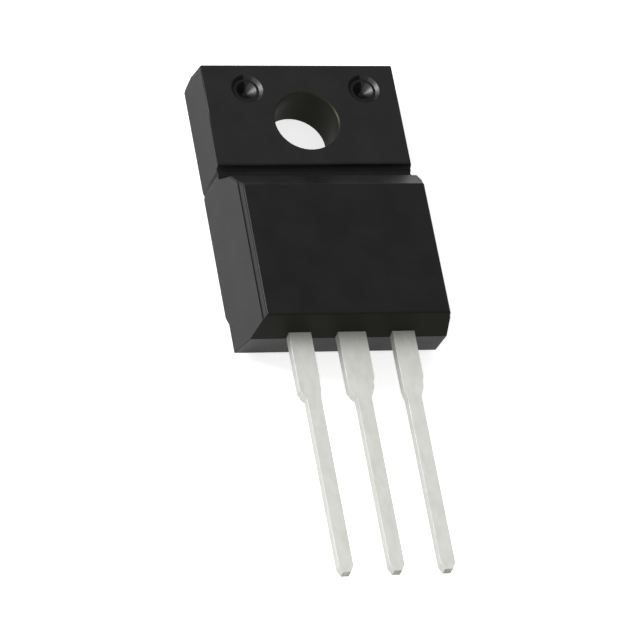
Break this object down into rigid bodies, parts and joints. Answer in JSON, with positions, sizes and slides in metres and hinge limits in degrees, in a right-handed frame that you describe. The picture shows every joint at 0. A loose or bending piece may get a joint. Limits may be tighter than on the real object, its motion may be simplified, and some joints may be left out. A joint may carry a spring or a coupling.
{
  "type": "power transistor",
  "caption": "Power transistor in a fully moulded, insulated case with a screw hole in its tab, a bevelled body and straight flat leads.",
  "frame": {"origin": "axis of the mounting hole, on the flat back face", "axes": "+Z out of the front face and along the mounting hole, -Y along the leads, +X to the right seen from the front with the leads down"},
  "size_m": [0.0104, 0.0289, 0.0045],
  "materials": {
    "epoxy_moulding": "black epoxy moulding with a fine matt grain",
    "tinned_copper": "matt tin plating over stamped copper, bare copper inside the case",
    "solder": "dull solder",
    "silicon": "polished silicon, opaque",
    "bond_wire": "bright drawn aluminium"
  },
  "bodies": {
    "root": {"moulded_case": "epoxy_moulding", "pad_and_centre_lead": "tinned_copper", "gate_lead": "tinned_copper", "source_lead": "tinned_copper", "die_attach_solder": "solder", "silicon_die": "silicon", "gate_bond_wire": "bond_wire", "source_bond_wire_inner": "bond_wire", "source_bond_wire_outer": "bond_wire"}
  },
  "joints": []
}
